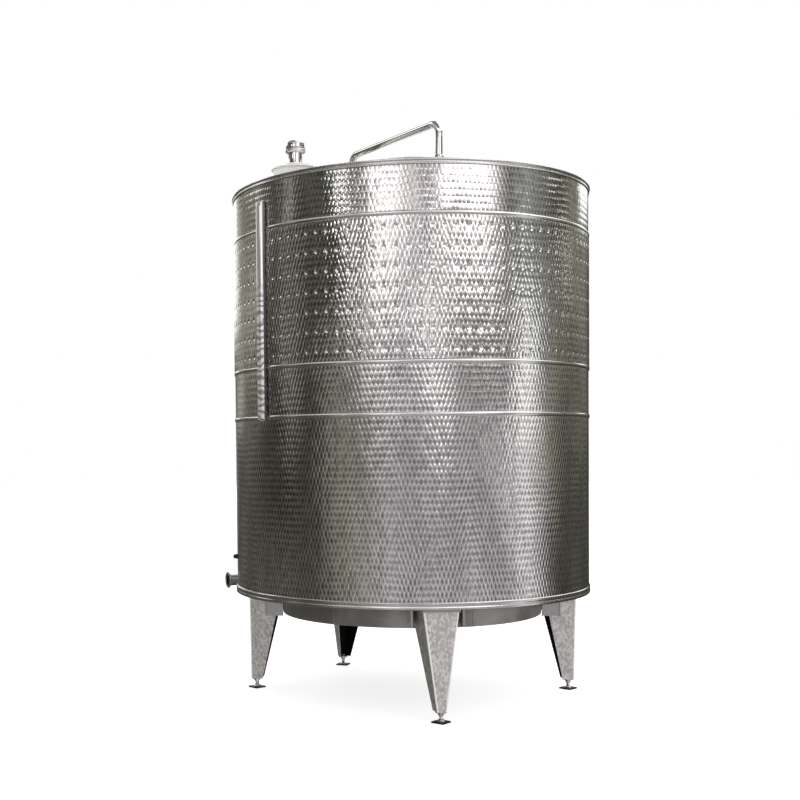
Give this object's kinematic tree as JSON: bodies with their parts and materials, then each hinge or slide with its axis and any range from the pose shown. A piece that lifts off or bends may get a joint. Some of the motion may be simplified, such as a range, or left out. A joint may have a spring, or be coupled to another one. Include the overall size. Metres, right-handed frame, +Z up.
{
  "type": "mixing tank",
  "caption": "Upright cylindrical stainless mixing tank with cone roof, dimple jacket, inspection port with vent, cleaning pipe, side outlet and folded sheet legs.",
  "frame": {"origin": "on the floor, in the middle of the whole footprint; the tank's axis is 41.8 mm towards +X from it, because the outlet stands out at -X", "axes": "+Z up along the tank, -Y towards the front of the picture, +X to the right of the picture"},
  "size_m": [2.0016, 1.918, 2.964],
  "materials": {
    "shell_steel": "engine-turned stainless sheet, overlapping swirls, semi-bright",
    "polished_trim": "polished stainless bands, rim, pipes and fittings",
    "leg_steel": "folded stainless sheet with small diamond texture",
    "underside_steel": "dull rolled steel in the tank's shade",
    "foot_black": "black levelling plate"
  },
  "bodies": {
    "root": {"shell_lower_course": "shell_steel", "shell_middle_course": "shell_steel", "shell_jacket_course": "shell_steel", "shell_upper_course": "shell_steel", "dimple_jacket": "shell_steel", "bottom_plate": "shell_steel", "roof_cone": "shell_steel", "roof_port_plate": "shell_steel", "outlet_pipe": "shell_steel", "band_lower": "polished_trim", "band_middle": "polished_trim", "band_upper": "polished_trim", "bottom_strip": "polished_trim", "top_rim": "polished_trim", "inspection_port_neck": "polished_trim", "inspection_port_lid": "polished_trim", "vent_neck": "polished_trim", "vent_clamp": "polished_trim", "vent_cap": "polished_trim", "cip_pipe": "polished_trim", "cip_socket_front": "polished_trim", "cip_socket_rear": "polished_trim", "outlet_ferrule": "polished_trim", "sensor_duct": "polished_trim", "foot_spindle_front": "polished_trim", "foot_spindle_left": "polished_trim", "foot_spindle_right": "polished_trim", "foot_spindle_rear": "polished_trim", "leg_front": "leg_steel", "leg_left": "leg_steel", "leg_right": "leg_steel", "leg_rear": "leg_steel", "leg_bracket_front": "leg_steel", "leg_bracket_left": "leg_steel", "leg_bracket_right": "leg_steel", "leg_bracket_rear": "leg_steel", "support_ring": "underside_steel", "sensor_stub": "underside_steel", "foot_pad_front": "foot_black", "foot_pad_left": "foot_black", "foot_pad_right": "foot_black", "foot_pad_rear": "foot_black"}
  },
  "joints": []
}
